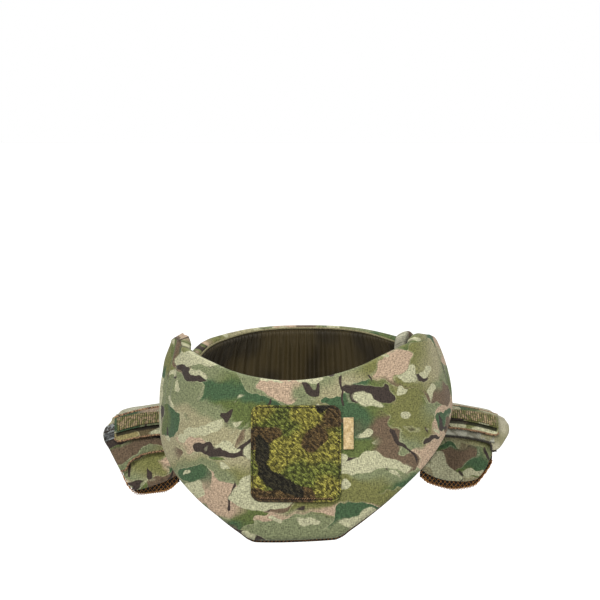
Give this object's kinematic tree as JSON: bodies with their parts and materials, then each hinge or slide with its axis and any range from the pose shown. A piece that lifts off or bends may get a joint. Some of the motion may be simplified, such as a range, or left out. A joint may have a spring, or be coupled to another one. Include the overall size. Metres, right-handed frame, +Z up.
{
  "type": "ballistic gorget",
  "caption": "Padded armoured neck guard: a deep front bib with a square loop patch, a high nape collar, and layered shoulder wings with mesh backing.",
  "frame": {"origin": "on the neck's axis, at the height where the collar's side edges sit on the shoulders", "axes": "+Z up along the neck, -Y forward out of the throat, +X to the viewer's right from the front, which is the wearer's left"},
  "size_m": [0.3744, 0.2492, 0.1733],
  "materials": {
    "camo_fabric": "matt woven nylon with a printed woodland pattern",
    "olive_lining": "satin lining, gathered",
    "coyote_mesh": "open spacer mesh",
    "loop_pile": "fuzzy loop pile",
    "woven_label": "woven tape, bare",
    "olive_webbing": "ribbed webbing"
  },
  "bodies": {
    "root": {"front_bib": "camo_fabric", "bib_mesh_backing": "coyote_mesh", "loop_patch": "loop_pile", "side_label": "woven_label", "nape_collar": "camo_fabric", "collar_lining": "olive_lining", "closure_strip_left": "olive_lining", "shoulder_pad_left": "camo_fabric", "shoulder_mesh_left": "coyote_mesh", "wrap_strap_left": "camo_fabric", "cover_flap_left": "camo_fabric", "webbing_band_left": "olive_webbing", "closure_strip_right": "olive_lining", "shoulder_pad_right": "camo_fabric", "shoulder_mesh_right": "coyote_mesh", "wrap_strap_right": "camo_fabric", "cover_flap_right": "camo_fabric", "webbing_band_right": "olive_webbing"}
  },
  "joints": []
}
